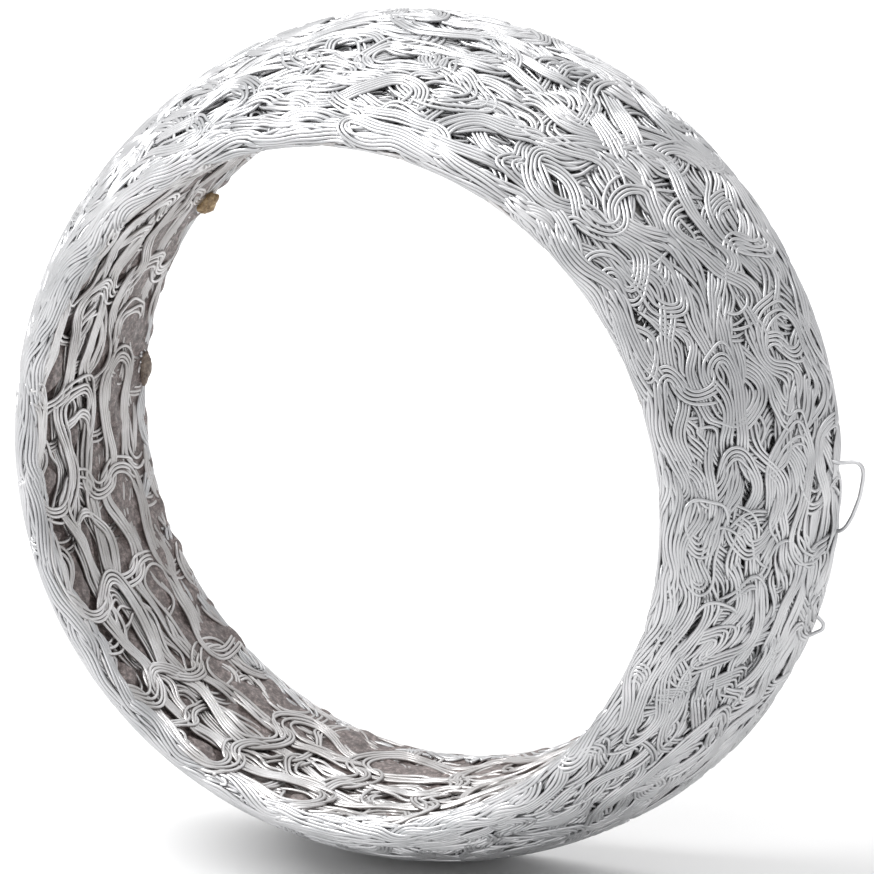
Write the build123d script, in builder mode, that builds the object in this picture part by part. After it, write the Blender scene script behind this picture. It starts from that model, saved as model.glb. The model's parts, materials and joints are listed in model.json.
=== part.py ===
"""Spherical sealing ring for the ball joint of an exhaust pipe.

Two strips, a knitted wire net and a mica-graphite sheet, are wound together into a base ring. A second
sheet and a second net are wrapped over it, and a die presses the whole into a ring with a straight bore,
a flat back face and a ball-shaped outside. Lengths are in millimetres. The bore runs along Y, the back
face looks along +Y, the thin front rim along -Y, and the origin is on the bore's axis at mid width.
"""

import os
from math import cos, radians, sin, sqrt

from build123d import *

# Driving dimensions
BORE_DIAMETER = 50.5  # slips over a 50 mm pipe
BALL_DIAMETER = 65.0  # its centre lies on the bore's axis, in the plane of the back face
RING_WIDTH = 18.5
WIRE_DIAMETER = 0.28
RIM_ROUND = 0.9  # front rim and back corners, pressed round over the folded net
NET_LAYERS_OUTSIDE = 3  # wires on top of each other in the pressed outer net
NET_LAYERS_INSIDE = 2  # and in each turn of the base net
OUTER_FILLER_THICKNESS = 0.6
BASE_TURNS = 3

# Derived sizes
BORE_RADIUS = BORE_DIAMETER / 2
BALL_RADIUS = BALL_DIAMETER / 2
FRONT_Y = -RING_WIDTH / 2
BACK_Y = RING_WIDTH / 2
OUTER_NET_THICKNESS = NET_LAYERS_OUTSIDE * WIRE_DIAMETER
BASE_NET_THICKNESS = NET_LAYERS_INSIDE * WIRE_DIAMETER
LINING_RADIUS = BORE_RADIUS + BASE_NET_THICKNESS
OUTER_FILLER_RADIUS = BALL_RADIUS - OUTER_NET_THICKNESS
CORE_RADIUS = OUTER_FILLER_RADIUS - OUTER_FILLER_THICKNESS
SPIRAL_PITCH = (CORE_RADIUS - LINING_RADIUS) / BASE_TURNS
INNER_FRONT_Y = FRONT_Y + OUTER_NET_THICKNESS
INNER_BACK_Y = BACK_Y - OUTER_NET_THICKNESS

# Loose bends of the outer net's wire that stand out of the back corner: where each leaves the net, where
# it turns back and where it goes in again, as angles about the bore's axis from +X towards +Z, and how far
# its turn stands out of the ball.
STRAY_LOOP_ANGLES = (4.4, 3.6, -8.5)
STRAY_LOOP_HEIGHT = 2.0
STRAY_END_ANGLES = (-18.6, -19.6, -22.6)
STRAY_END_HEIGHT = 1.0
STRAY_BEND_RADIUS = 0.45


def ball_radius_at(ball_radius, y):
    """Distance from the bore's axis to a ball about the back face's centre, at height y along the axis."""
    return sqrt(ball_radius**2 - (BACK_Y - y) ** 2)


def zone_outline(inner_radius, ball_radius, front_y, back_y):
    """Half section, X outwards and Y along the bore, of the wall between a bore and a ball."""
    front = ball_radius_at(ball_radius, front_y)
    middle_y = (front_y + back_y) / 2
    middle = ball_radius_at(ball_radius, middle_y)
    back = ball_radius_at(ball_radius, back_y)
    Polyline((front, front_y), (inner_radius, front_y), (inner_radius, back_y), (back, back_y))
    ThreePointArc((front, front_y), (middle, middle_y), (back, back_y))


def revolved_zone(inner_radius, ball_radius, front_y, back_y):
    """The solid ring with that half section, and sharp corners."""
    with BuildPart(mode=Mode.PRIVATE) as zone:
        with BuildSketch(Plane.XY):
            with BuildLine():
                zone_outline(inner_radius, ball_radius, front_y, back_y)
            make_face()
        revolve(axis=Axis.Y)
    return zone.part


def stray_wire(angles, height):
    """A bent length of wire that leaves the outer net at the back corner and goes back into it."""
    root_radius = BALL_RADIUS - OUTER_NET_THICKNESS / 2
    radii = (root_radius, BALL_RADIUS + height, root_radius)
    corners = [
        Vector(radius * cos(radians(angle)), BACK_Y - RIM_ROUND, radius * sin(radians(angle)))
        for radius, angle in zip(radii, angles)
    ]
    with BuildPart(mode=Mode.PRIVATE) as wire:
        with BuildLine() as path:
            FilletPolyline(*corners, radius=STRAY_BEND_RADIUS)
        with BuildSketch(Plane(origin=path.line @ 0, z_dir=path.line % 0)):
            Circle(WIRE_DIAMETER / 2)
        sweep()
    return wire.part


# Envelope of the pressed ring, with its rounded rims
with BuildPart(mode=Mode.PRIVATE) as envelope:
    with BuildSketch(Plane.XY) as section:
        with BuildLine():
            zone_outline(BORE_RADIUS, BALL_RADIUS, FRONT_Y, BACK_Y)
        make_face()
        fillet(section.vertices(), RIM_ROUND)
    revolve(axis=Axis.Y)

inside_outer_net = revolved_zone(LINING_RADIUS, OUTER_FILLER_RADIUS, INNER_FRONT_Y, INNER_BACK_Y)
core_front_y = BACK_Y - sqrt(CORE_RADIUS**2 - LINING_RADIUS**2)
core = revolved_zone(LINING_RADIUS, CORE_RADIUS, core_front_y + WIRE_DIAMETER, INNER_BACK_Y)

# Knitted net strip of the base ring, as a spiral of half turns about two centres a half pitch apart
with BuildPart(mode=Mode.PRIVATE) as net_spiral:
    for half_turn in range(2 * BASE_TURNS):
        side = 1 if half_turn % 2 else -1
        inner_radius = BORE_RADIUS + SPIRAL_PITCH / 4 + half_turn * SPIRAL_PITCH / 2
        outer_radius = inner_radius + BASE_NET_THICKNESS
        with BuildSketch(Plane.XZ):
            with Locations((side * SPIRAL_PITCH / 4, 0)):
                Circle(outer_radius)
                Circle(inner_radius, mode=Mode.SUBTRACT)
            with Locations((0, side * BALL_DIAMETER / 2)):
                Rectangle(2 * BALL_DIAMETER, BALL_DIAMETER, mode=Mode.SUBTRACT)
        extrude(amount=RING_WIDTH, both=True)

# Base net: the strip's first turn lines the bore, and the rest winds outwards through the filler
with BuildPart() as base_net:
    add(envelope.part)
    with BuildSketch(Plane.XZ):
        Circle(BALL_DIAMETER)
        Circle(LINING_RADIUS, mode=Mode.SUBTRACT)
    extrude(amount=RING_WIDTH, both=True, mode=Mode.SUBTRACT)
    add(net_spiral.part & core)
base_net.part.label = "base_net"

# Base filler: the mica-graphite sheet between the turns of the base net
with BuildPart() as base_filler:
    add(core)
    add(net_spiral.part, mode=Mode.SUBTRACT)
base_filler.part.label = "base_filler"

# Outer filler: the sheet under the outer net
with BuildPart() as outer_filler:
    add(inside_outer_net)
    add(core, mode=Mode.SUBTRACT)
outer_filler.part.label = "outer_filler"

# Outer net: the knitted cover, folded round both rims down to the bore's lining
with BuildPart() as outer_net:
    add(envelope.part)
    with BuildSketch(Plane.XZ):
        Circle(LINING_RADIUS)
    extrude(amount=RING_WIDTH, both=True, mode=Mode.SUBTRACT)
    add(inside_outer_net, mode=Mode.SUBTRACT)
outer_net.part.label = "outer_net"

# Loose wire of the outer net: a large open loop, and a small one further down
with BuildPart() as stray_wire_loop:
    add(stray_wire(STRAY_LOOP_ANGLES, STRAY_LOOP_HEIGHT))
    add(outer_net.part, mode=Mode.SUBTRACT)
stray_wire_loop.part.label = "stray_wire_loop"

with BuildPart() as stray_wire_end:
    add(stray_wire(STRAY_END_ANGLES, STRAY_END_HEIGHT))
    add(outer_net.part, mode=Mode.SUBTRACT)
stray_wire_end.part.label = "stray_wire_end"

os.makedirs("parts", exist_ok=True)
for piece in (base_net, base_filler, outer_filler, outer_net, stray_wire_loop, stray_wire_end):
    export_step(piece.part, f"parts/{piece.part.label}.step")
    print(piece.part.label, len(piece.part.solids()), "solid(s)", round(piece.part.volume, 1), "mm3")
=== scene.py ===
"""The visual model of a pressed exhaust ring gasket: knitted wire nets over mica-graphite filler.

Every wire of both nets is a tube of its own. The nets start as loose knitted loops laid over the ring, and
a small simulation presses them between two walls, as the die does, while the wires push each other aside.
Lengths are in metres unless a name says otherwise.
"""

import json
import math
from collections.abc import Callable
from dataclasses import dataclass

import bmesh
import bpy
import numpy as np
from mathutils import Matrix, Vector, noise
from mathutils.kdtree import KDTree


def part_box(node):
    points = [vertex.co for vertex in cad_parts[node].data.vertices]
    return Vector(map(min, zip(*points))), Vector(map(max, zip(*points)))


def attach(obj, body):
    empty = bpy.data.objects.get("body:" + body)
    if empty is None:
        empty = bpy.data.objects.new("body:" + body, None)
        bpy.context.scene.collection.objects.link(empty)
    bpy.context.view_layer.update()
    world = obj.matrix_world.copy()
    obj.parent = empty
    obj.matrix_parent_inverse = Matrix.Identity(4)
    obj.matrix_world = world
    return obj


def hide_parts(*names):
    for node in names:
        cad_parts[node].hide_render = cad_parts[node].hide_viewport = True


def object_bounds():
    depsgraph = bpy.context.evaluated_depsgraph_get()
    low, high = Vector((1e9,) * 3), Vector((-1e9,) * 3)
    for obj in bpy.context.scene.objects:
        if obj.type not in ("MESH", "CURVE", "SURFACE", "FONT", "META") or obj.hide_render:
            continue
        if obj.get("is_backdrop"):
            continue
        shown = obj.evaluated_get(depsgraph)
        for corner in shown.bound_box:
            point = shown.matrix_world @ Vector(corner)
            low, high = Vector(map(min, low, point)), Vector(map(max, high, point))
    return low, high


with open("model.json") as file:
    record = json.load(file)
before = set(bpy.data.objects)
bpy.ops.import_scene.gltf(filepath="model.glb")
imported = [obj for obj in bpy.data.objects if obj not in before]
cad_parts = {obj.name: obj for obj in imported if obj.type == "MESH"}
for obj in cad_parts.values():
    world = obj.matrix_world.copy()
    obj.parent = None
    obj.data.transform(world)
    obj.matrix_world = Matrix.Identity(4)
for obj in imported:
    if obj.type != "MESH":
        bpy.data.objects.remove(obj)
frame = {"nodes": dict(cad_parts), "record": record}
cad_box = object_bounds()

MM = 0.001

# ---------------------------------------------------------------------------------------------
# Sizes from the frame
# ---------------------------------------------------------------------------------------------
MOUNTS = {mount["name"]: mount for mount in frame["record"]["mounts"]}
NET_LOW, NET_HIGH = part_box("outer_net")
_, FILLER_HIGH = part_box("outer_filler")
BORE_RADIUS = MOUNTS["bore"]["dims"]["r_mm"] * MM
FRONT_Y, BACK_Y = NET_LOW[1], NET_HIGH[1]
FACET_GAP = 0.013 * MM  # the faceted CAD mesh ends this far inside the true ball
BALL_RADIUS = NET_HIGH[2] + FACET_GAP
RIM_ROUND = ((BACK_Y - FRONT_Y) - MOUNTS["bore"]["dims"]["length_mm"] * MM) / 2
NET_THICKNESS = BACK_Y - FILLER_HIGH[1]

WIRE_DIAMETER = NET_THICKNESS / 3  # the pressed outer net is three wires thick
WIRE_RADIUS = WIRE_DIAMETER / 2

# ---------------------------------------------------------------------------------------------
# Camera: a long lens, a little above the ring and to its right
# ---------------------------------------------------------------------------------------------
CAMERA_AZIMUTH, CAMERA_ELEVATION = 25.35, 14.8
CAMERA_DISTANCE = 0.482
CAMERA_LENS_MM = 267.5
AIM_RIGHT, AIM_UP = 3.28 * MM, 1.65 * MM


def make_camera():
    """The photograph's viewpoint, aimed a little right of and above the ring's centre."""
    azimuth, elevation = math.radians(CAMERA_AZIMUTH), math.radians(CAMERA_ELEVATION)
    back = Vector((
        math.sin(azimuth) * math.cos(elevation),
        -math.cos(azimuth) * math.cos(elevation),
        math.sin(elevation),
    ))
    rotation = (-back).to_track_quat("-Z", "Y")
    right = rotation @ Vector((1, 0, 0))
    up = rotation @ Vector((0, 1, 0))
    data = bpy.data.cameras.new("camera")
    data.lens = CAMERA_LENS_MM
    data.clip_start, data.clip_end = 0.01, 100
    camera = bpy.data.objects.new("camera", data)
    camera.rotation_mode = "QUATERNION"
    camera.rotation_quaternion = rotation
    camera.location = right * AIM_RIGHT + up * AIM_UP + back * CAMERA_DISTANCE
    bpy.context.collection.objects.link(camera)
    bpy.context.scene.camera = camera


make_camera()


# ---------------------------------------------------------------------------------------------
# The ring's section: an outline that runs from the bore round the front rim, over the ball, across the
# back face and along the bore back to its start
# ---------------------------------------------------------------------------------------------
class Outline:
    """A closed outline of the half section as points (radius, y) with outward normals, by arc length."""

    STEP = 0.02 * MM

    def __init__(self):
        rounding = RIM_ROUND
        inner = BALL_RADIUS - rounding
        front_y, back_y = FRONT_Y + rounding, BACK_Y - rounding
        bore = BORE_RADIUS + rounding
        front_ball = math.sqrt(inner**2 - (BACK_Y - front_y) ** 2)
        back_ball = math.sqrt(inner**2 - rounding**2)
        front_tilt = math.atan2(front_y - BACK_Y, front_ball)
        back_tilt = math.atan2(back_y - BACK_Y, back_ball)
        quarter = math.pi / 2
        pieces = [
            self.arc((bore, front_y), rounding, -math.pi, -quarter),
            self.line((bore, FRONT_Y), (front_ball, FRONT_Y), (0, -1)),
            self.arc((front_ball, front_y), rounding, -quarter, front_tilt),
            self.arc((0, BACK_Y), BALL_RADIUS, front_tilt, back_tilt),
            self.arc((back_ball, back_y), rounding, back_tilt, quarter),
            self.line((back_ball, BACK_Y), (bore, BACK_Y), (0, 1)),
            self.arc((bore, back_y), rounding, quarter, math.pi),
            self.line((BORE_RADIUS, back_y), (BORE_RADIUS, front_y), (-1, 0)),
        ]
        lengths = [np.linalg.norm(np.diff(points, axis=0), axis=1).sum() for points, _ in pieces]
        self.ends = np.cumsum(lengths)
        self.length = self.ends[-1]
        points = np.vstack([points[:-1] for points, _ in pieces] + [pieces[-1][0][-1:]])
        normals = np.vstack([normals[:-1] for _, normals in pieces] + [pieces[-1][1][-1:]])
        steps = np.linalg.norm(np.diff(points, axis=0), axis=1)
        self.at = np.concatenate([[0], np.cumsum(steps)])
        self.points, self.normals = points, normals

    def arc(self, centre, radius, start, end):
        """Points and normals of an arc between two angles."""
        count = max(3, int(abs(end - start) * radius / self.STEP))
        angles = np.linspace(start, end, count)
        normals = np.stack([np.cos(angles), np.sin(angles)], axis=1)
        return np.array(centre) + radius * normals, normals

    def line(self, start, end, normal):
        """Points and normals of a straight run."""
        count = max(3, int(math.dist(start, end) / self.STEP))
        points = np.linspace(start, end, count)
        return points, np.tile(np.array(normal, float), (count, 1))

    def radius(self, along):
        """Distance from the bore's axis at a length along the outline."""
        return np.interp(np.mod(along, self.length), self.at, self.points[:, 0])

    def place(self, angle, along, depth):
        """3-D points at an angle about the bore's axis, a length along the outline and a depth under it."""
        along = np.mod(along, self.length)
        radius, y = (np.interp(along, self.at, self.points[:, i]) for i in range(2))
        normal_r, normal_y = (np.interp(along, self.at, self.normals[:, i]) for i in range(2))
        radius, y = radius - depth * normal_r, y - depth * normal_y
        return np.stack([radius * np.cos(angle), y, radius * np.sin(angle)], axis=1)


OUTLINE = Outline()
FRONT_RIM_END, FRONT_FACE_END, NOSE_END, _, CORNER_END, BACK_FACE_END, BACK_RIM_END, _ = OUTLINE.ends


class DepthField:
    """How deep a point lies under the outline, and the way out, read from a grid over the section."""

    CELL = 0.06 * MM
    MARGIN = 2.5 * MM
    EVERY = 6  # distances are measured to one in so many points of the outline
    BATCH = 4096  # grid points measured at once

    def __init__(self):
        self.low = np.array([BORE_RADIUS - self.MARGIN, FRONT_Y - self.MARGIN])
        high = np.array([BALL_RADIUS + self.MARGIN, BACK_Y + self.MARGIN])
        self.shape = np.ceil((high - self.low) / self.CELL).astype(int) + 1
        radius = self.low[0] + np.arange(self.shape[0]) * self.CELL
        y = self.low[1] + np.arange(self.shape[1]) * self.CELL
        grid = np.stack(np.meshgrid(radius, y, indexing="ij"), axis=-1).reshape(-1, 2)
        line = OUTLINE.points[::self.EVERY]
        normal = OUTLINE.normals[::self.EVERY]
        depth = np.empty(len(grid))
        for first in range(0, len(grid), self.BATCH):
            part = grid[first:first + self.BATCH]
            gaps = ((part[:, None] - line[None]) ** 2).sum(-1)
            nearest = gaps.argmin(1)
            outward = ((part - line[nearest]) * normal[nearest]).sum(1)
            depth[first:first + self.BATCH] = -np.sign(outward) * np.sqrt(gaps.min(1))
        self.depth = depth.reshape(self.shape)
        self.slope = np.gradient(-self.depth, self.CELL)

    def read(self, points):
        """Depth of each 3-D point, and its outward unit normal."""
        radius = np.hypot(points[:, 0], points[:, 2])
        place = (np.stack([radius, points[:, 1]], axis=1) - self.low) / self.CELL
        place = np.clip(place, 0, self.shape - 1.001)
        cell = place.astype(int)
        part = place - cell
        i, j = cell.T
        a, b = part.T

        def sample(table):
            """The table's value at each place, between the four corners of its cell."""
            return (
                table[i, j] * (1 - a) * (1 - b) + table[i + 1, j] * a * (1 - b)
                + table[i, j + 1] * (1 - a) * b + table[i + 1, j + 1] * a * b
            )

        normal_r, normal_y = sample(self.slope[0]), sample(self.slope[1])
        size = np.maximum(np.hypot(normal_r, normal_y), 1e-9)
        normal_r, normal_y = normal_r / size, normal_y / size
        normal_x, normal_z = normal_r * points[:, 0] / radius, normal_r * points[:, 2] / radius
        return sample(self.depth), np.stack([normal_x, normal_y, normal_z], axis=1)


DEPTHS = DepthField()


# ---------------------------------------------------------------------------------------------
# Smooth steps and random fields
# ---------------------------------------------------------------------------------------------
def ease(value, low, high):
    """0 below low, 1 above high, and smooth between."""
    part = np.clip((value - low) / (high - low), 0, 1)
    return part * part * (3 - 2 * part)


class Ripple:
    """A smooth random field over angle and length along the outline, about 1 high, closed round the ring."""

    def __init__(self, seed, wavelength, waves=20):
        rng = np.random.default_rng(seed)
        size = rng.uniform(0.75, 1.5, waves) * wavelength
        heading = rng.uniform(0, 2 * math.pi, waves)
        mean_radius = (BORE_RADIUS + BALL_RADIUS) / 2
        self.round = np.round(2 * math.pi * mean_radius / size * np.cos(heading))
        self.along = 2 * math.pi / size * np.sin(heading)
        self.phase = rng.uniform(0, 2 * math.pi, waves)
        self.height = math.sqrt(2 / waves)

    def __call__(self, angle, along):
        total = np.zeros_like(angle)
        for k, q, phase in zip(self.round, self.along, self.phase):
            total += np.cos(k * angle + q * along + phase)
        return total * self.height


def drift(rng, count, knots):
    """A smooth random line of count values, about 1 high, with a new random value at each knot."""
    values = rng.normal(0, 1, knots + 3)
    place = np.linspace(1, knots, count)
    cell = place.astype(int)
    f = place - cell
    before, here, after, beyond = (values[np.clip(cell + i, 0, knots + 2)] for i in (-1, 0, 1, 2))
    cubic = 3 * (here - after) + beyond - before
    square = 2 * before - 5 * here + 4 * after - beyond + f * cubic
    return here + 0.5 * f * (after - before + f * square)


# ---------------------------------------------------------------------------------------------
# Knitted nets, before pressing
# ---------------------------------------------------------------------------------------------
POINT_STEP = 0.30 * MM  # along a wire
SAMPLES_PER_LOOP = 160  # on a course's line, before its wires are evened out
TURN_ROUNDS = 6  # of easing for a wire's sharp turns
TABLE_SIZE = 400  # places where a net's squeeze is read
FINE_SIZE, FINE_SHARE = 0.45, 0.35  # of the small ripples, against the wide ones
OVER_UNDER_SIZE, RISE_SIZE = 7 * MM, 9 * MM
LEG_SPACING, TURN_SPACING = 1.02, 0.30  # wire diameters from wire to wire, and what a turn adds to that
PHASE_SCATTER = 0.25  # of one course against the next, in radians
LOOP_VARIATION, WIRE_VARIATION = 0.06, 0.035  # in the reach of a course's loops, and of one wire's
PUSH_ALONG, PUSH_ROUND = 0.22 * MM, 0.25 * MM  # random shifts of a whole course
WANDER = 0.10 * MM  # of a wire within its bundle
ROLL, ROLL_DEPTH = 0.4, 0.04 * MM  # how far a bundle rolls on its side, in radians, and sinks as it does
ORDER_GAIN, BIAS_GAIN, LEVEL_GAIN = 3.0, 2.0, 1.8  # high gains keep wires flat but for where they cross
DIVE_DEPTH, DIVE_LENGTH = 0.5 * MM, 0.8 * MM  # a wire's ends go down into the ring


@dataclass(eq=False)
class Net:
    """One layer of knit: courses lie across the ring, and their loops reach along its circumference.

    The columns of loops line up from course to course, so that each loop hangs in the next one, and wind
    round the ring as a spiral of a whole number of columns.
    """

    name: str
    seed: int
    start: float  # lengths along the outline
    end: float
    wires: int
    courses: int
    wale: float  # width of a column of loops
    reach: float  # of a loop's head from the middle of its course
    depth: float
    swing: float  # how far loops rise and dip where they hook through one another
    wall: float  # depth that the press leaves to the net
    warp: float = 0.6 * MM
    ripple_size: float = 8 * MM
    lean: float = 0.18  # how far the heads bulge out over the legs
    squeeze: Callable = np.ones_like
    bias: Callable = np.zeros_like
    phase: float = 0.0
    jitter: float = 1.0
    spiral: int = 0
    turn: float = 0.0
    wave: float = 0.0
    openings: object = None

    def __post_init__(self):
        self.shift_round = Ripple(self.seed + 1, self.ripple_size)
        self.shift_along = Ripple(self.seed + 2, self.ripple_size)
        self.fine_round = Ripple(self.seed + 3, self.ripple_size * FINE_SIZE)
        self.fine_along = Ripple(self.seed + 4, self.ripple_size * FINE_SIZE)
        self.over_under = Ripple(self.seed + 5, OVER_UNDER_SIZE)
        self.rise = Ripple(self.seed + 6, RISE_SIZE)
        # Lengths along the outline, against lengths on the flat knit
        self.along_table = self.start + (self.end - self.start) * np.linspace(0, 1, TABLE_SIZE)
        rate = self.squeeze(self.along_table)
        self.knit_table = np.concatenate([[0], np.cumsum((1 / rate[1:] + 1 / rate[:-1]) / 2)])
        self.knit_table *= (self.end - self.start) / (TABLE_SIZE - 1)
        self.columns = self.knit_table[-1] / self.wale
        self.tilt = self.spiral * self.wale / (2 * math.pi * OUTLINE.radius(self.along_table).mean())

    def strands(self):
        """Yields (wire, points) for each wire of each course, evenly spaced."""
        rng = np.random.default_rng(self.seed)
        for course in range(self.courses):
            line = self.course_line(course, rng)
            _, turned, _, _, _, swap = line
            for wire in range(self.wires):
                knit_along, knit_round = self.wire_line(wire, line, rng)
                inside = (knit_along > 0) & (knit_along < self.knit_table[-1])
                first, last = np.nonzero(inside)[0][[0, -1]]
                keep = slice(first, last + 1)
                angle, along = self.lay(course, knit_along, knit_round)
                depth = self.depth_at(turned, swap, angle, along)
                points = OUTLINE.place(angle[keep], along[keep], depth[keep])
                yield wire, even(rounded(even(points, POINT_STEP), TURN_ROUNDS), POINT_STEP)

    def knots(self):
        """Knots of a random line, at one a loop."""
        return int(self.columns) + 3

    def course_line(self, course, rng):
        """A course as an angle that turns once a loop, with the random lines that its wires share."""
        samples, knots = int((self.columns + 2) * SAMPLES_PER_LOOP), self.knots()
        phase = self.phase - 2 * math.pi * self.spiral * course / self.courses
        phase = np.mod(phase, 2 * math.pi) + PHASE_SCATTER * self.jitter * rng.uniform(-1, 1)
        t = np.linspace(0, (self.columns + 2) * 2 * math.pi, samples) - 2 * math.pi
        grow = 1 + LOOP_VARIATION * self.jitter * drift(rng, samples, 2 * knots)
        push_along = PUSH_ALONG * self.jitter * drift(rng, samples, 2 * knots)
        push_round = PUSH_ROUND * self.jitter * drift(rng, samples, 2 * knots)
        swap = drift(rng, samples, knots + 1)
        return t, t + phase, grow, push_along, push_round, swap

    def wire_line(self, wire, line, rng):
        """One wire of a course on the flat knit, offset sideways from the course's own line."""
        t, turned, grow, push_along, push_round, swap = line
        side = wire - (self.wires - 1) / 2
        # The bundle opens where it turns and closes along the legs.
        turn = np.abs(np.cos(turned)) ** 3
        lateral = side * WIRE_DIAMETER * (LEG_SPACING + TURN_SPACING * turn)
        lateral = lateral * np.cos(ROLL * swap) + WANDER * drift(rng, len(t), 4 * self.knots())
        own = 1 + WIRE_VARIATION * drift(rng, len(t), 2 * self.knots())
        knit_along = self.wale * (t / (2 * math.pi) + self.lean * np.sin(2 * turned))
        knit_round = self.reach * grow * own * np.cos(turned)
        knit_along = knit_along + self.tilt * knit_round
        step_along, step_round = np.gradient(knit_along), np.gradient(knit_round)
        size = np.hypot(step_along, step_round)
        knit_along = knit_along + lateral * -step_round / size + push_along
        knit_round = knit_round + lateral * step_along / size + push_round
        return knit_along, knit_round

    def lay(self, course, knit_along, knit_round):
        """Angles about the axis and lengths along the outline of places on the flat knit."""
        along = np.interp(knit_along, self.knit_table, self.along_table)
        radius = OUTLINE.radius(along)
        angle = 2 * math.pi / self.courses * (course + self.turn) + knit_round / radius
        shift = self.shift_round(angle, along) + FINE_SHARE * self.fine_round(angle, along)
        angle = angle + self.warp * shift / radius
        slack = self.squeeze(along)
        shift = self.shift_along(angle, along) + FINE_SHARE * self.fine_along(angle, along)
        along = along + self.warp * slack * shift
        if self.openings is not None:
            angle, along = self.openings.part(angle, along)
        return angle, along

    def depth_at(self, turned, swap, angle, along):
        """How deep a wire lies: its loops go over and under, and its ends dive into the ring."""
        order = ORDER_GAIN * self.over_under(angle, along) + BIAS_GAIN * self.bias(along)
        order = np.clip(order, -1, 1)
        level = np.clip(LEVEL_GAIN * np.cos(2 * turned), -1, 1)
        depth = self.depth + self.wave * self.rise(angle, along)
        depth = depth + order * self.swing * level + ROLL_DEPTH * swap
        from_end = np.minimum(along - self.start, self.end - along)
        return depth + DIVE_DEPTH * np.exp(-np.clip(from_end, 0, None) / DIVE_LENGTH)


class Openings:
    """A lattice of oval openings in the lining, and the way the wires part around them."""

    EDGE = 1.7  # wires this many half-widths away stay where they are
    SIZES = (1.0, 0.62, 0.55, 0.5, 0.4)  # column by column, from the front rim
    ANGLE_SCATTER, ALONG_SCATTER = 0.02, 0.15 * MM
    LEAST, MOST = 0.85, 1.15  # of its column's size

    def __init__(self, first_angle, first_along, courses, column_step, half_round, half_along, seed):
        rng = np.random.default_rng(seed)
        pitch = 2 * math.pi / courses
        self.ovals = []
        for column, column_size in enumerate(self.SIZES):
            for course in range(courses):
                angle = first_angle + pitch * (course + 0.5 * (column % 2))
                angle += rng.normal(0, self.ANGLE_SCATTER)
                along = first_along - column_step * column + rng.normal(0, self.ALONG_SCATTER)
                size = column_size * rng.uniform(self.LEAST, self.MOST)
                self.ovals.append((angle % (2 * math.pi), along, half_round * size, half_along * size))

    def part(self, angle, along):
        """Moves places on the lining out of the openings."""
        angle, along = angle.copy(), along.copy()
        for centre, row, half_round, half_along in self.ovals:
            aside = np.mod(angle - centre + math.pi, 2 * math.pi) - math.pi
            u, v = aside * BORE_RADIUS / half_round, (along - row) / half_along
            reach = np.hypot(u, v)
            near = reach < self.EDGE
            if not near.any():
                continue
            u, v, reach = u[near], v[near], np.maximum(reach[near], 1e-3)
            grown = np.sqrt(reach**2 + (1 - reach / self.EDGE) ** 2) / reach
            angle[near] += u * (grown - 1) * half_round / BORE_RADIUS
            along[near] = row + v * grown * half_along
        return angle, along


def rounded(points, rounds):
    """The same line with its sharp corners eased."""
    points = points.copy()
    for _ in range(rounds):
        points[1:-1] += 0.5 * ((points[:-2] + points[2:]) / 2 - points[1:-1])
    return points


def even(points, step):
    """The same line with points a fixed step apart."""
    run = np.concatenate([[0], np.cumsum(np.linalg.norm(np.diff(points, axis=0), axis=1))])
    count = max(4, int(run[-1] / step))
    want = np.linspace(0, run[-1], count)
    return np.stack([np.interp(want, run, points[:, i]) for i in range(3)], axis=1)


# ---------------------------------------------------------------------------------------------
# Pressing: the wires push each other apart between two walls
# ---------------------------------------------------------------------------------------------
PRESS_ROUNDS = 40
SEARCH_EVERY = 5  # rounds
SEARCH_REACH = 1.6 * WIRE_DIAMETER
NEIGHBOURS = 3  # points this near on one wire don't push each other
BESIDE, ALMOST_BESIDE = 0.75 * POINT_STEP, 0.8 * POINT_STEP  # by how far along their wires two points lie
PAST_GAP = 0.9  # wire diameters between points that aren't quite beside each other
START_LIFT = 0.7 * MM  # height of the die above its last place as it starts to close
CLOSING = 0.6  # share of the rounds in which it closes
MOST_MOVE, CROWDING = 0.9, 0.45  # a point pushed from many sides moves by a mean, not by the sum
HALF_SPACE = [
    (dx, dy, dz) for dx in (-1, 0, 1) for dy in (-1, 0, 1) for dz in (-1, 0, 1) if (dx, dy, dz) >= (0, 0, 0)
]


def close_pairs(points, reach, strand, place):
    """Pairs of points nearer than reach that aren't neighbours on one wire."""
    cell = np.floor((points - points.min(0)) / reach).astype(np.int64) + 1
    span = cell.max(0) + 2
    key = (cell[:, 0] * span[1] + cell[:, 1]) * span[2] + cell[:, 2]
    order = np.argsort(key, kind="stable")
    ordered = key[order]
    found_a, found_b = [], []
    for dx, dy, dz in HALF_SPACE:
        other = ordered + (dx * span[1] + dy) * span[2] + dz
        first = np.searchsorted(ordered, other, "left")
        last = np.searchsorted(ordered, other, "right")
        if (dx, dy, dz) == (0, 0, 0):
            first = np.arange(len(ordered)) + 1
        count = np.maximum(last - first, 0)
        a = np.repeat(np.arange(len(ordered)), count)
        within = np.arange(count.sum()) - np.repeat(np.cumsum(count) - count, count)
        b = np.repeat(first, count) + within
        a, b = order[a], order[b]
        near = ((points[a] - points[b]) ** 2).sum(1) < reach**2
        near &= (strand[a] != strand[b]) | (np.abs(place[a] - place[b]) > NEIGHBOURS)
        found_a.append(a[near])
        found_b.append(b[near])
    return np.concatenate(found_a), np.concatenate(found_b)


def scatter(index, values, count):
    """Sums rows of values into count rows by index."""
    return np.stack([np.bincount(index, values[:, i], count) for i in range(3)], axis=1)


def smooth_lines(values, inner, amount, rounds):
    """Evens out values along each wire; ends stay."""
    for _ in range(rounds):
        mean = (values[:-2] + values[2:]) / 2
        values[1:-1] += amount * inner[:, None] * (mean - values[1:-1])
    return values


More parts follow.
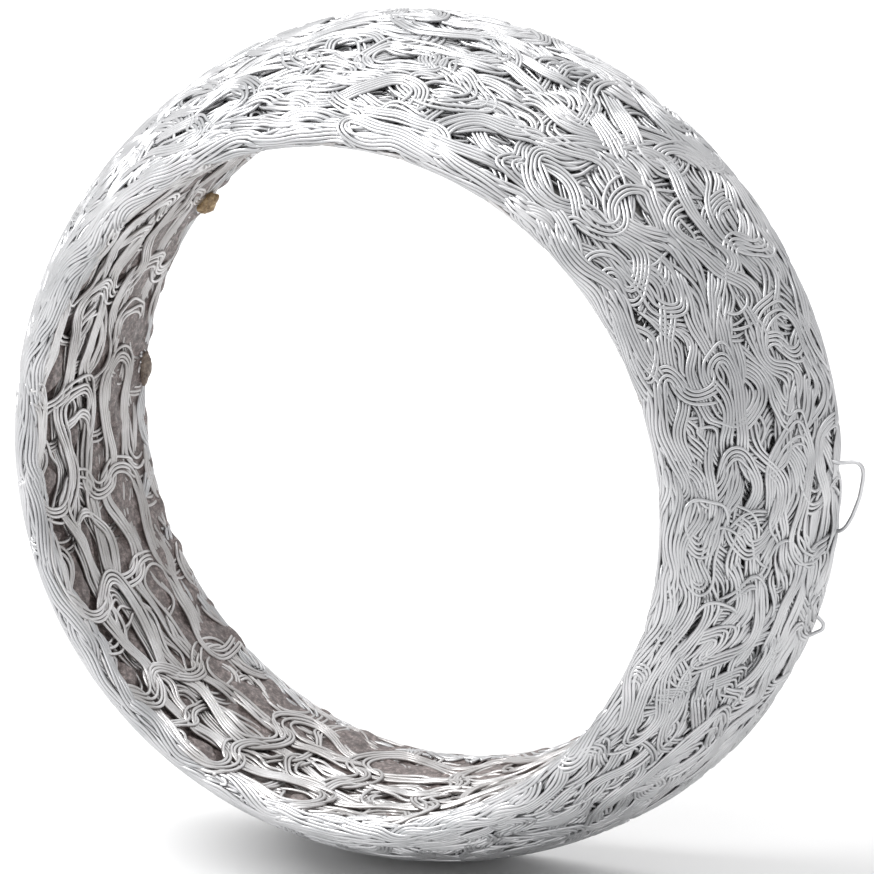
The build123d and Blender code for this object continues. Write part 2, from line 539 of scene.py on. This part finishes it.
def push_apart(points, tangent, a, b):
    """How far each point moves so that the wires of the pairs a, b lie a diameter apart."""
    gap = points[a] - points[b]
    parallel = (tangent[a] * tangent[b]).sum(1) ** 2
    slip = (gap * tangent[a]).sum(1)
    across = gap - (slip * parallel)[:, None] * tangent[a]
    size = np.linalg.norm(across, axis=1)
    want = WIRE_DIAMETER * np.where(np.abs(slip) < BESIDE, 1.0, PAST_GAP)
    push = np.clip(want - size, 0, None) * 0.5
    push *= (np.abs(slip) < ALMOST_BESIDE) | (parallel < 0.5)
    direction = across / np.maximum(size, 1e-7)[:, None]
    move = direction * push[:, None]
    count = len(points)
    total = scatter(a, move, count) - scatter(b, move, count)
    hits = np.bincount(a, push > 0, count) + np.bincount(b, push > 0, count)
    return total * (MOST_MOVE / np.maximum(1, CROWDING * hits))[:, None]


def press(points, strand, place, wall):
    """Moves the points so that wires stay a diameter apart, between the die and each point's own wall."""
    inner = ((strand[:-2] == strand[1:-1]) & (strand[2:] == strand[1:-1])).astype(float)
    rest = points.copy()
    shift = np.zeros_like(points)
    for step in range(PRESS_ROUNDS):
        points = rest + shift
        if step % SEARCH_EVERY == 0:
            a, b = close_pairs(points, SEARCH_REACH, strand, place)
        tangent = np.zeros_like(points)
        tangent[1:-1] = (points[2:] - points[:-2]) * inner[:, None]
        tangent /= np.maximum(np.linalg.norm(tangent, axis=1), 1e-9)[:, None]
        shift += push_apart(points, tangent, a, b)
        shift = smooth_lines(shift, inner, amount=0.5, rounds=2)
        depth, normal = DEPTHS.read(rest + shift)
        lift = START_LIFT * max(0.0, 1 - step / (CLOSING * PRESS_ROUNDS))
        too_high = np.clip(WIRE_RADIUS - lift - depth, 0, None)
        too_low = np.clip(depth - (wall - WIRE_RADIUS), 0, None)
        shift += normal * (too_low - too_high)[:, None]
    return smooth_lines(rest + shift, inner, amount=0.4, rounds=2)


# ---------------------------------------------------------------------------------------------
# Wires as tubes
# ---------------------------------------------------------------------------------------------
SIDES = 6
SIDE_ANGLES = np.arange(SIDES) * 2 * math.pi / SIDES + math.pi / SIDES
TUBE_RADIUS = 1.06 * WIRE_RADIUS  # so that six sides look as thick as a round wire


def tube_rings(points, same):
    """The corners of a tube's section at each point, numbered from the way out of the ring."""
    tangent = np.zeros_like(points)
    steps = (points[1:] - points[:-1]) * same[:, None]
    tangent[1:] += steps
    tangent[:-1] += steps
    tangent /= np.maximum(np.linalg.norm(tangent, axis=1), 1e-12)[:, None]
    _, normal = DEPTHS.read(points)
    normal = normal - (normal * tangent).sum(1)[:, None] * tangent
    normal /= np.maximum(np.linalg.norm(normal, axis=1), 1e-12)[:, None]
    side = np.cross(tangent, normal)
    outwards = np.cos(SIDE_ANGLES)[None, :, None] * normal[:, None]
    sideways = np.sin(SIDE_ANGLES)[None, :, None] * side[:, None]
    return points[:, None] + TUBE_RADIUS * (outwards + sideways)


def tube_faces(same):
    """The corners of all quads and end caps, and how many each face has; same marks points on one wire."""
    starts = np.nonzero(same)[0]
    k = np.arange(SIDES)
    here = starts[:, None] * SIDES + k
    ahead = here + SIDES
    here_next = starts[:, None] * SIDES + (k + 1) % SIDES
    ahead_next = here_next + SIDES
    quads = np.stack([here, ahead, ahead_next, here_next], axis=-1).reshape(-1, 4)
    firsts = np.nonzero(np.concatenate([[True], ~same]))[0]
    lasts = np.nonzero(np.concatenate([~same, [True]]))[0]
    caps = [first * SIDES + k for first in firsts] + [last * SIDES + k[::-1] for last in lasts]
    corners = np.concatenate([quads.ravel(), np.concatenate(caps)])
    sizes = np.concatenate([np.full(len(quads), 4), np.full(len(caps), SIDES)])
    return corners, sizes


PAINTED_GAP_SHADE = 0.30  # painted shade: how much darker the deepest wires are
BORE_BACK_DARKENING, BORE_BACK_DARKENING_START, BORE_BACK_DARKENING_FULL = 0.35, -3 * MM, 5 * MM  # how much darker the bore's wires get towards the back, and where along Y
BORE_DARKENING_LAYER = 1.2 * MM  # depth from the bore


def painted_wire_shade(points):
    """Painted light and shade as a factor: full on a wire's outer side, painted shade on its inner side and
    down in the gaps, and darker towards the back of the bore.
    """
    outward = np.cos(SIDE_ANGLES)[None, :]
    depth, _ = DEPTHS.read(points)
    buried = np.clip((depth - 2 * WIRE_RADIUS) / (3 * WIRE_DIAMETER), 0, 1)[:, None]
    in_bore = np.hypot(points[:, 0], points[:, 2]) < BORE_RADIUS + BORE_DARKENING_LAYER
    back_darkening = (BORE_BACK_DARKENING * in_bore * ease(points[:, 1], BORE_BACK_DARKENING_START, BORE_BACK_DARKENING_FULL))[:, None]
    # Painted shade: each wire's inner side and the deeper wires get darker, and the bore's wires darken
    # towards the back.
    return np.clip((outward + 0.5) / 1.1, 0, 1) * (1 - PAINTED_GAP_SHADE * buried) * (1 - back_darkening)


def tube_mesh(name, points, strand):
    """One mesh of closed tubes along every strand, with the wire's painted light and shade as a point
    attribute.
    """
    same = strand[1:] == strand[:-1]
    vertices = tube_rings(points, same).reshape(-1, 3)
    corners, sizes = tube_faces(same)
    mesh = bpy.data.meshes.new(name)
    mesh.vertices.add(len(vertices))
    mesh.vertices.foreach_set("co", vertices.ravel())
    mesh.loops.add(len(corners))
    mesh.loops.foreach_set("vertex_index", corners.astype(np.int32))
    mesh.polygons.add(len(sizes))
    mesh.polygons.foreach_set("loop_start", np.concatenate([[0], np.cumsum(sizes)[:-1]]).astype(np.int32))
    mesh.polygons.foreach_set("loop_total", sizes.astype(np.int32))
    mesh.polygons.foreach_set("use_smooth", np.ones(len(sizes), bool))
    mesh.update()
    # This attribute carries the painted shade of the wires.
    attribute = mesh.attributes.new("painted_shade_factor", "FLOAT", "POINT")
    attribute.data.foreach_set("value", painted_wire_shade(points).ravel().astype(np.float32))
    return mesh


def add_piece(name, mesh, material, slot, *replaced):
    """A new visible piece that rides with the ring."""
    mesh.materials.append(material)
    piece = bpy.data.objects.new(name, mesh)
    bpy.context.collection.objects.link(piece)
    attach(piece, "root")
    if replaced:
        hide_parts(*replaced)
    return piece


# ---------------------------------------------------------------------------------------------
# Materials
# ---------------------------------------------------------------------------------------------
def new_material(name):
    """A material with its nodes, links and shader."""
    material = bpy.data.materials.new(name)
    material.use_nodes = True
    nodes, links = material.node_tree.nodes, material.node_tree.links
    return material, nodes, links, nodes["Principled BSDF"]


def wire_material(name, light, dark, dusty, painted_shade_colour=None):
    """Bright drawn steel wire, with dull patches and fine streaks, and a darker colour mixed in from the
    point attribute: painted shade on the wires' inner sides and down in the gaps of the net, and darkening
    towards the back of the bore.
    """
    material, nodes, links, shader = new_material(name)
    coordinates = nodes.new("ShaderNodeTexCoord")
    patches = nodes.new("ShaderNodeTexNoise")
    patches.inputs["Scale"].default_value = 260
    patches.inputs["Detail"].default_value = 4
    links.new(coordinates.outputs["Object"], patches.inputs["Vector"])
    tone = nodes.new("ShaderNodeValToRGB")
    tone.color_ramp.elements[0].position = 0.35
    tone.color_ramp.elements[0].color = (*dark, 1)
    tone.color_ramp.elements[1].position = 0.65
    tone.color_ramp.elements[1].color = (*light, 1)
    links.new(patches.outputs["Fac"], tone.inputs["Fac"])
    colour = tone.outputs["Color"]
    # Painted shade: where the attribute is low, the darker colour below is mixed in.
    if painted_shade_colour:
        painted_shade_factor = nodes.new("ShaderNodeAttribute")
        painted_shade_factor.attribute_name = "painted_shade_factor"
        shade_mix = nodes.new("ShaderNodeMix")
        shade_mix.data_type = "RGBA"
        shade_mix.inputs["A"].default_value = (*painted_shade_colour, 1)
        links.new(painted_shade_factor.outputs["Fac"], shade_mix.inputs["Factor"])
        links.new(colour, shade_mix.inputs["B"])
        colour = shade_mix.outputs["Result"]
    links.new(colour, shader.inputs["Base Color"])
    fine = nodes.new("ShaderNodeTexNoise")
    fine.inputs["Scale"].default_value = 1800
    fine.inputs["Detail"].default_value = 3
    links.new(coordinates.outputs["Object"], fine.inputs["Vector"])
    rough = nodes.new("ShaderNodeMapRange")
    rough.inputs["To Min"].default_value = 0.28 + dusty
    rough.inputs["To Max"].default_value = 0.44 + dusty
    links.new(fine.outputs["Fac"], rough.inputs["Value"])
    links.new(rough.outputs["Result"], shader.inputs["Roughness"])
    shader.inputs["Metallic"].default_value = 1.0
    return material


def filler_material(name, dark, middle_tone, light):
    """Mica and graphite, grainy, with pale and dark flakes."""
    material, nodes, links, shader = new_material(name)
    coordinates = nodes.new("ShaderNodeTexCoord")
    grain = nodes.new("ShaderNodeTexNoise")
    grain.inputs["Scale"].default_value = 2600
    grain.inputs["Detail"].default_value = 6
    grain.inputs["Roughness"].default_value = 0.75
    links.new(coordinates.outputs["Object"], grain.inputs["Vector"])
    tone = nodes.new("ShaderNodeValToRGB")
    stops = tone.color_ramp.elements
    stops[0].position, stops[0].color = 0.32, (*dark, 1)
    stops[1].position, stops[1].color = 0.70, (*light, 1)
    middle = stops.new(0.5)
    middle.color = (*middle_tone, 1)
    links.new(grain.outputs["Fac"], tone.inputs["Fac"])
    links.new(tone.outputs["Color"], shader.inputs["Base Color"])
    bump = nodes.new("ShaderNodeBump")
    bump.inputs["Strength"].default_value = 0.6
    bump.inputs["Distance"].default_value = 0.05 * MM
    links.new(grain.outputs["Fac"], bump.inputs["Height"])
    links.new(bump.outputs["Normal"], shader.inputs["Normal"])
    shader.inputs["Roughness"].default_value = 0.48
    shader.inputs["Specular IOR Level"].default_value = 0.8
    return material


LOOSE_WIRE = wire_material("loose_wire", (0.66, 0.66, 0.67), (0.50, 0.505, 0.515), 0.0)
# The last colour of each of the two wires below is painted shade, for the inner sides of the wires and the
# gaps between them.
OUTER_WIRE = wire_material(
    "bright_wire", (0.61, 0.61, 0.62), (0.48, 0.485, 0.495), 0.0, painted_shade_colour=(0.52, 0.52, 0.525),
)
BORE_WIRE = wire_material(
    "bore_wire", (0.76, 0.755, 0.76), (0.52, 0.51, 0.505), 0.04, painted_shade_colour=(0.36, 0.335, 0.325),
)
FILLER = filler_material(
    "mica_graphite", (0.035, 0.028, 0.026), (0.135, 0.107, 0.102), (0.40, 0.335, 0.32),
)
COVER_FILLER = filler_material(
    "mica_rich_filler", (0.12, 0.12, 0.12), (0.28, 0.275, 0.27), (0.50, 0.49, 0.48),
)
GOLDEN_CRUMB = filler_material(
    "golden_crumb", (0.10, 0.06, 0.02), (0.32, 0.21, 0.10), (0.62, 0.47, 0.28),
)
BROWN_CRUMB = filler_material(
    "brown_crumb", (0.05, 0.035, 0.025), (0.17, 0.13, 0.10), (0.36, 0.29, 0.24),
)


# ---------------------------------------------------------------------------------------------
# The nets
# ---------------------------------------------------------------------------------------------
def rim_squeeze(along):
    """Loops are drawn narrow where the net folds over the front rim."""
    centre = (FRONT_RIM_END + NOSE_END) / 2
    front = 0.50 * np.exp(-(((along - centre) / (2.6 * MM)) ** 2))
    return 1 - front


def cover_bias(along):
    """Positive where the legs of the loops lie on top, as at the rims, and negative where the heads do."""
    front = np.exp(-(((along - FRONT_RIM_END) / (2.4 * MM)) ** 2))
    back = np.exp(-(((along - CORNER_END) / (2.0 * MM)) ** 2))
    return -0.25 + 3.0 * front + 1.5 * back


def bore_bias(along):
    """The heads of the loops lie a little on top all over the bore."""
    return np.full_like(along, -0.4)


COVER_KNIT = {
    "courses": 26,
    "wale": 5.8 * MM,
    "reach": 5.0 * MM,
    "wall": NET_THICKNESS + 1.2 * WIRE_DIAMETER,  # the wires are pressed a little way into the filler
}
COVER_NETS = [
    Net("cover_top", 11, -0.5 * MM, BACK_RIM_END + 1.0 * MM, 4, depth=0.16 * MM, swing=0.26 * MM,
        squeeze=rim_squeeze, bias=cover_bias, spiral=3, wave=0.18 * MM, **COVER_KNIT),
    Net("cover_second", 23, 0.1 * MM, BACK_FACE_END + 1.0 * MM, 5, depth=0.38 * MM, swing=0.24 * MM,
        squeeze=rim_squeeze, spiral=-8, phase=2.2, turn=0.5, wave=0.22 * MM, **COVER_KNIT),
    Net("cover_third", 29, NOSE_END + 1.2 * MM, BACK_FACE_END + 1.0 * MM, 6, depth=0.62 * MM,
        swing=0.24 * MM, spiral=10, phase=4.0, turn=0.25, wave=0.22 * MM, **COVER_KNIT),
    Net("cover_fourth", 31, NOSE_END + 1.8 * MM, BACK_FACE_END + 1.0 * MM, 6, depth=0.90 * MM,
        swing=0.20 * MM, spiral=-5, phase=1.0, turn=0.75, **COVER_KNIT),
]
BORE_START = BACK_FACE_END + 0.1 * MM
BORE_COURSES, BORE_WALE, UNDER_WALE = 20, 6.8 * MM, 5.4 * MM
OPENING_ROW = OUTLINE.length - 2.05 * MM  # the row of openings nearest the front rim
FIRST_OPENING = math.radians(187.3)
BORE_PHASE = (BORE_START - OPENING_ROW) * 2 * math.pi / BORE_WALE  # puts heads on the front row of openings
BORE_KNIT = {
    "courses": BORE_COURSES,
    "wall": 3.6 * WIRE_DIAMETER,
    "ripple_size": 9 * MM,
    "openings": Openings(FIRST_OPENING, OPENING_ROW, BORE_COURSES, column_step=BORE_WALE / 2,
                         half_round=1.70 * MM, half_along=1.95 * MM, seed=51),
}
BORE_NETS = [
    Net("bore_top", 37, BORE_START, OUTLINE.length + 1.0 * MM, 4, wale=BORE_WALE, reach=4.8 * MM,
        depth=0.18 * MM, swing=0.20 * MM, warp=0.30 * MM, lean=0.20, bias=bore_bias, phase=BORE_PHASE,
        jitter=0.6, turn=0.083, **BORE_KNIT),
    Net("bore_middle", 41, BORE_START, OUTLINE.length + 0.4 * MM, 3, wale=BORE_WALE, reach=4.6 * MM,
        depth=0.42 * MM, swing=0.20 * MM, warp=0.40 * MM, lean=0.20, phase=BORE_PHASE + 0.7, turn=0.5,
        wave=0.12 * MM, **BORE_KNIT),
    Net("bore_under", 43, BORE_START, OUTLINE.length - 4.0 * MM, 4, wale=UNDER_WALE, reach=4.8 * MM,
        depth=0.72 * MM, swing=0.18 * MM, warp=0.45 * MM, phase=2.0, turn=0.2, spiral=2, **BORE_KNIT),
]
COVER_FINISH = (OUTER_WIRE, "outer_wire", "outer_net")
BORE_FINISH = (BORE_WIRE, "base_wire", "base_net")


def knit(nets):
    """All strands of the nets as points, with each point's strand, place on it, net and wire."""
    rows, strand, place, layer, member = [], [], [], [], []
    for index, net in enumerate(nets):
        for wire, points in net.strands():
            strand.append(np.full(len(points), len(rows)))
            place.append(np.arange(len(points)))
            layer.append(np.full(len(points), index))
            member.append(np.full(len(points), wire))
            rows.append(points)
    return np.vstack(rows), *(np.concatenate(column) for column in (strand, place, layer, member))


def make_nets(nets):
    """Knits, presses and adds every wire; returns the points of all wires."""
    points, strand, place, layer, member = knit(nets)
    wall = np.array([net.wall for net in nets])[layer]
    points = press(points, strand, place, wall)
    for index, net in enumerate(nets):
        finish = BORE_FINISH if net in BORE_NETS else COVER_FINISH
        for wire in range(net.wires):
            mine = (layer == index) & (member == wire)
            name = f"{net.name}_wire_{wire + 1}"
            add_piece(name, tube_mesh(name, points[mine], strand[mine]), *finish)
    return points


WIRE_POINTS = make_nets(COVER_NETS + BORE_NETS)


# ---------------------------------------------------------------------------------------------
# Filler
# ---------------------------------------------------------------------------------------------
BACK_ROWS = 8  # of a shell's plain side


def filler_shell(name, start, end, across, around, depth_at, thickness, material, node):
    """A closed shell of filler under part of the outline: a rough face towards the net, and a plain back."""
    angle = np.linspace(0, 2 * math.pi, around, endpoint=False)
    rows = []
    for along in np.linspace(start, end, across):
        where = np.full(around, along)
        rows.append(OUTLINE.place(angle, where, depth_at(angle, where)))
    for along in np.linspace(end, start, BACK_ROWS):
        rows.append(OUTLINE.place(angle, np.full(around, along), np.full(around, thickness)))
    points = np.stack(rows).reshape(-1, 3)
    total = len(rows)
    i, j = (grid.ravel() for grid in np.meshgrid(np.arange(total), np.arange(around), indexing="ij"))
    below, ahead = (i + 1) % total, (j + 1) % around
    faces = np.stack([i * around + j, i * around + ahead, below * around + ahead, below * around + j], axis=1)
    mesh = bpy.data.meshes.new(name)
    mesh.from_pydata(points.tolist(), [], faces.tolist())
    mesh.shade_smooth()
    add_piece(name, mesh, material, "filler_sheet", node)


def bore_wire_tree():
    """A search tree of the wire points that lie near the bore."""
    near = WIRE_POINTS[np.hypot(WIRE_POINTS[:, 0], WIRE_POINTS[:, 2]) < BORE_RADIUS + 2 * MM]
    tree = KDTree(len(near))
    for index, point in enumerate(near):
        tree.insert(point, index)
    tree.balance()
    return tree


BORE_WIRES = bore_wire_tree()
BORE_WIDE, BORE_FINE = Ripple(71, 5 * MM), Ripple(72, 1.2 * MM, 40)
COVER_WIDE, RIM_LUMPS = Ripple(73, 4 * MM), Ripple(74, 2.6 * MM)
GAP_LEVEL = 0.35 * MM  # depth at which the gaps between the bore's wires are measured
NARROW_GAP, WIDE_GAP = 0.35 * MM, 0.85 * MM  # distance to the nearest wire, in a bundle and in an opening
FLUSH_START, FLUSH_FULL = 0.35, 0.65  # shares of the way from the front rim to the back one
BACK_RIM_START, BACK_RIM_FULL = 0.86, 0.96


def bore_filler_depth(angle, along):
    """Filler bulges into the openings near the front rim, and lies almost flush near the back one."""
    towards_back = (OUTLINE.length - along) / (OUTLINE.length - BACK_FACE_END)
    wide, fine = BORE_WIDE(angle, along), BORE_FINE(angle, along)
    places = OUTLINE.place(angle, along, np.full(len(angle), GAP_LEVEL))
    gap = np.array([BORE_WIRES.find(place)[2] for place in places])
    # Three depths in millimetres: in and between the openings, almost flush, and at the back rim
    bulge = 0.90 - 0.52 * ease(gap, NARROW_GAP, WIDE_GAP) + 0.06 * wide + 0.03 * fine
    flush = 0.26 + 0.12 * wide + 0.03 * fine
    rim = 0.03 + 0.10 * RIM_LUMPS(angle, along)
    depth = bulge + (flush - bulge) * ease(towards_back + 0.08 * wide, FLUSH_START, FLUSH_FULL)
    depth = depth + (rim - depth) * ease(towards_back, BACK_RIM_START, BACK_RIM_FULL)
    return MM * np.clip(depth, -0.2, 0.9)


def cover_filler_depth(angle, along):
    """Filler lies just under the outer net, and is only seen deep in its gaps."""
    return MM * (1.10 + 0.05 * COVER_WIDE(angle, along))


filler_shell("bore_filler", BACK_FACE_END + 0.2 * MM, OUTLINE.length + 0.9 * MM, across=118, around=760,
             depth_at=bore_filler_depth, thickness=1.2 * MM, material=FILLER, node="base_filler")
filler_shell("cover_filler", FRONT_FACE_END, BACK_FACE_END + 0.6 * MM, across=70, around=400,
             depth_at=cover_filler_depth, thickness=1.60 * MM, material=COVER_FILLER, node="outer_filler")
for slot in frame["nodes"]["stray_wire_end"].material_slots:
    slot.material = LOOSE_WIRE


# ---------------------------------------------------------------------------------------------
# Crumbs of filler and loose wire
# ---------------------------------------------------------------------------------------------
def surface_point(angle, along, depth):
    """One 3-D point at a depth under the outline."""
    return Vector(OUTLINE.place(np.array([angle]), np.array([along]), np.array([depth]))[0])


def crumb(name, material, angle_deg, along, length, width, height, seed):
    """A lump of filler squeezed out at the back rim, length along the circumference."""
    mesh = bpy.data.meshes.new(name)
    shape = bmesh.new()
    bmesh.ops.create_icosphere(shape, subdivisions=5, radius=1.0)
    angle = math.radians(angle_deg)
    centre = surface_point(angle, along, -0.25 * height)
    out = centre - surface_point(angle, along, 0.0)
    out.normalize()
    onward = Vector((-math.sin(angle), 0, math.cos(angle)))
    aside = out.cross(onward)
    for vertex in shape.verts:
        place = vertex.co.copy()
        lump = 1 + 0.28 * noise.noise(place * 1.2 + Vector((seed, 0, 0)))
        lump += 0.10 * noise.noise(place * 4 + Vector((0, seed, 0)))
        across = onward * place.x * length + aside * place.y * width + out * place.z * height
        vertex.co = centre + across * lump / 2
    shape.to_mesh(mesh)
    shape.free()
    mesh.shade_smooth()
    add_piece(name, mesh, material, "filler_sheet")


LOOSE_STEP, LOOSE_ROUNDS = 0.12 * MM, 14  # points along a loose wire, and rounds of easing its bends


def loose_strands(name, ways, *replaced):
    """Single wires lying across the net; each way is a list of (degrees, along in mm, height in mm)."""
    rows, strand = [], []
    for number, way in enumerate(ways):
        angle, along, height = np.array(way, float).T
        places = OUTLINE.place(np.radians(angle), along * MM, -height * MM)
        line = even(rounded(even(places, LOOSE_STEP), LOOSE_ROUNDS), LOOSE_STEP)
        rows.append(line)
        strand.append(np.full(len(line), number))
    mesh = tube_mesh(name, np.vstack(rows), np.concatenate(strand))
    add_piece(name, mesh, LOOSE_WIRE, "outer_wire", *replaced)


crumb("golden_crumb", GOLDEN_CRUMB, 139.8, BACK_RIM_END + 1.0 * MM, length=2.0 * MM, width=1.0 * MM,
      height=1.2 * MM, seed=3.1)
crumb("brown_crumb", BROWN_CRUMB, 174.3, BACK_RIM_END + 0.3 * MM, length=2.6 * MM, width=0.9 * MM,
      height=0.8 * MM, seed=8.7)
loose_strands("stray_loop", [
    [(3.6, 19.4, -0.6), (2.9, 19.6, 0.0), (3.1, 19.8, 1.0), (3.2, 20.0, 1.6), (2.6, 20.1, 1.95),
     (1.5, 20.2, 2.0), (-1.5, 20.3, 1.65), (-4.2, 20.4, 1.1), (-6.0, 20.5, 0.6), (-6.7, 20.6, 0.1),
     (-7.1, 20.7, -0.6)],
], "stray_wire_loop")
loose_strands("loose_wires", [
    [(-3, 2.3, -0.5), (1, 2.5, 0.0), (4, 2.9, 0.16), (4.4, 3.7, 0.2), (3.4, 5.0, 0.2), (2.6, 6.2, 0.16),
     (0.6, 6.7, 0.0), (-2, 6.9, -0.5)],
    [(-16, 4.7, -0.5), (-13.2, 4.9, 0.0), (-12, 5.3, 0.15), (-12.0, 6.4, 0.2), (-13.0, 7.8, 0.16),
     (-14, 8.7, 0.05), (-15.5, 9.2, -0.5)],
])


# ---------------------------------------------------------------------------------------------
# Floor and light
# ---------------------------------------------------------------------------------------------
FLOOR_HALF = 6.0


def make_floor():
    """A plain white table under the ring."""
    mesh = bpy.data.meshes.new("floor")
    corners = [(FLOOR_HALF * x, FLOOR_HALF * y, NET_LOW[2]) for x, y in ((-1, -1), (1, -1), (1, 1), (-1, 1))]
    mesh.from_pydata(corners, [], [(0, 1, 2, 3)])
    floor = bpy.data.objects.new("floor", mesh)
    material, _, _, shader = new_material("white_table")
    shader.inputs["Base Color"].default_value = (0.74, 0.74, 0.74, 1)
    shader.inputs["Roughness"].default_value = 0.9
    mesh.materials.append(material)
    bpy.context.collection.objects.link(floor)
    floor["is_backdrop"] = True


def area_light(name, location, size, power):
    """A square light that faces the ring."""
    data = bpy.data.lights.new(name, "AREA")
    data.size = size
    data.energy = power
    light = bpy.data.objects.new(name, data)
    light.location = location
    light.rotation_mode = "QUATERNION"
    light.rotation_quaternion = (-Vector(location)).to_track_quat("-Z", "Y")
    bpy.context.collection.objects.link(light)


def make_light():
    """A white tent: bright overhead and from the upper left, greyer from the right and below."""
    world = bpy.data.worlds.new("tent")
    world.use_nodes = True
    nodes, links = world.node_tree.nodes, world.node_tree.links
    background = nodes["Background"]
    coordinates = nodes.new("ShaderNodeTexCoord")
    towards = nodes.new("ShaderNodeVectorMath")
    towards.operation = "DOT_PRODUCT"
    towards.inputs[1].default_value = (-0.50, -0.20, 0.84)
    links.new(coordinates.outputs["Generated"], towards.inputs[0])
    ramp = nodes.new("ShaderNodeValToRGB")
    ramp.color_ramp.elements[0].position = 0.20
    ramp.color_ramp.elements[0].color = (0.52, 0.52, 0.53, 1)
    ramp.color_ramp.elements[1].position = 0.85
    ramp.color_ramp.elements[1].color = (1, 1, 1, 1)
    shift = nodes.new("ShaderNodeMapRange")
    shift.inputs["From Min"].default_value = -1
    shift.inputs["From Max"].default_value = 1
    links.new(towards.outputs["Value"], shift.inputs["Value"])
    links.new(shift.outputs["Result"], ramp.inputs["Fac"])
    links.new(ramp.outputs["Color"], background.inputs["Color"])
    background.inputs["Strength"].default_value = 1.22
    bpy.context.scene.world = world
    area_light("key", (-0.40, -0.30, 0.62), 0.45, 6.0)
    area_light("top", (0.05, 0.25, 0.8), 0.5, 1.1)


make_floor()
make_light()
bpy.context.scene.view_settings.view_transform = "Standard"

boxes = {"cad": cad_box, "visual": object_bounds()}
{name: [[float(v) for v in corner] for corner in box] for name, box in boxes.items()}
